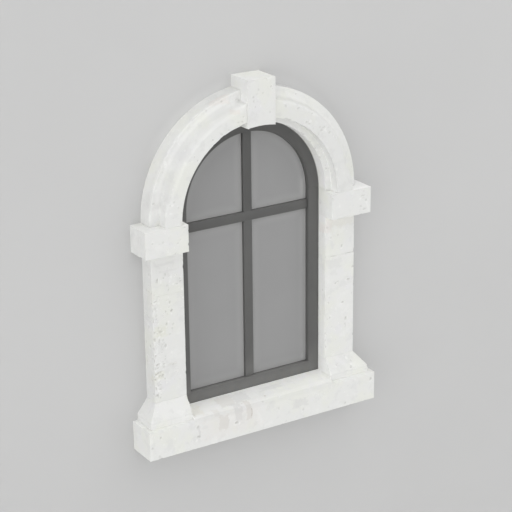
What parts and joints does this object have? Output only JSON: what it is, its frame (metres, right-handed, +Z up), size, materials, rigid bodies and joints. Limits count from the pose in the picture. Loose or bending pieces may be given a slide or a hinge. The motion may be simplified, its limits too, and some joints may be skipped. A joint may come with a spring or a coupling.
{
  "type": "arched window with stone surround",
  "caption": "Arched stone window surround with flared bases, impost blocks, moulded arch and keystone, around a fixed dark metal window with a mullion, a transom and grey panes.",
  "frame": {"origin": "middle of the sill stone's flat back face, in the plane of the wall's face", "axes": "+X along the wall to the right as seen from outside, +Y into the wall, +Z up"},
  "size_m": [1.545, 0.238, 2.092],
  "materials": {
    "stone": "honed pale travertine with small pits and faint veins",
    "frame_metal": "matt dark grey paint",
    "glass": "grey, lightly reflecting"
  },
  "bodies": {
    "root": {"base_left": "stone", "base_right": "stone", "bead_lower_left_bottom": "frame_metal", "bead_lower_left_mullion_side": "frame_metal", "bead_lower_left_stile_side": "frame_metal", "bead_lower_left_top": "frame_metal", "bead_lower_right_bottom": "frame_metal", "bead_lower_right_mullion_side": "frame_metal", "bead_lower_right_stile_side": "frame_metal", "bead_lower_right_top": "frame_metal", "bead_upper_left_bottom": "frame_metal", "bead_upper_left_head_side": "frame_metal", "bead_upper_left_mullion_side": "frame_metal", "bead_upper_right_bottom": "frame_metal", "bead_upper_right_head_side": "frame_metal", "bead_upper_right_mullion_side": "frame_metal", "frame_bottom_rail": "frame_metal", "frame_head_left": "frame_metal", "frame_head_right": "frame_metal", "frame_stile_left": "frame_metal", "frame_stile_right": "frame_metal", "impost_left": "stone", "impost_right": "stone", "jamb_lower_left": "stone", "jamb_lower_right": "stone", "jamb_upper_left": "stone", "jamb_upper_right": "stone", "keystone": "stone", "mullion_lower": "frame_metal", "mullion_upper": "frame_metal", "pane_lower_left": "glass", "pane_lower_right": "glass", "pane_upper_left": "glass", "pane_upper_right": "glass", "sill_stone": "stone", "transom": "frame_metal", "voussoir_left_1": "stone", "voussoir_left_2": "stone", "voussoir_left_3": "stone", "voussoir_left_4": "stone", "voussoir_right_1": "stone", "voussoir_right_2": "stone", "voussoir_right_3": "stone", "voussoir_right_4": "stone"}
  },
  "joints": []
}
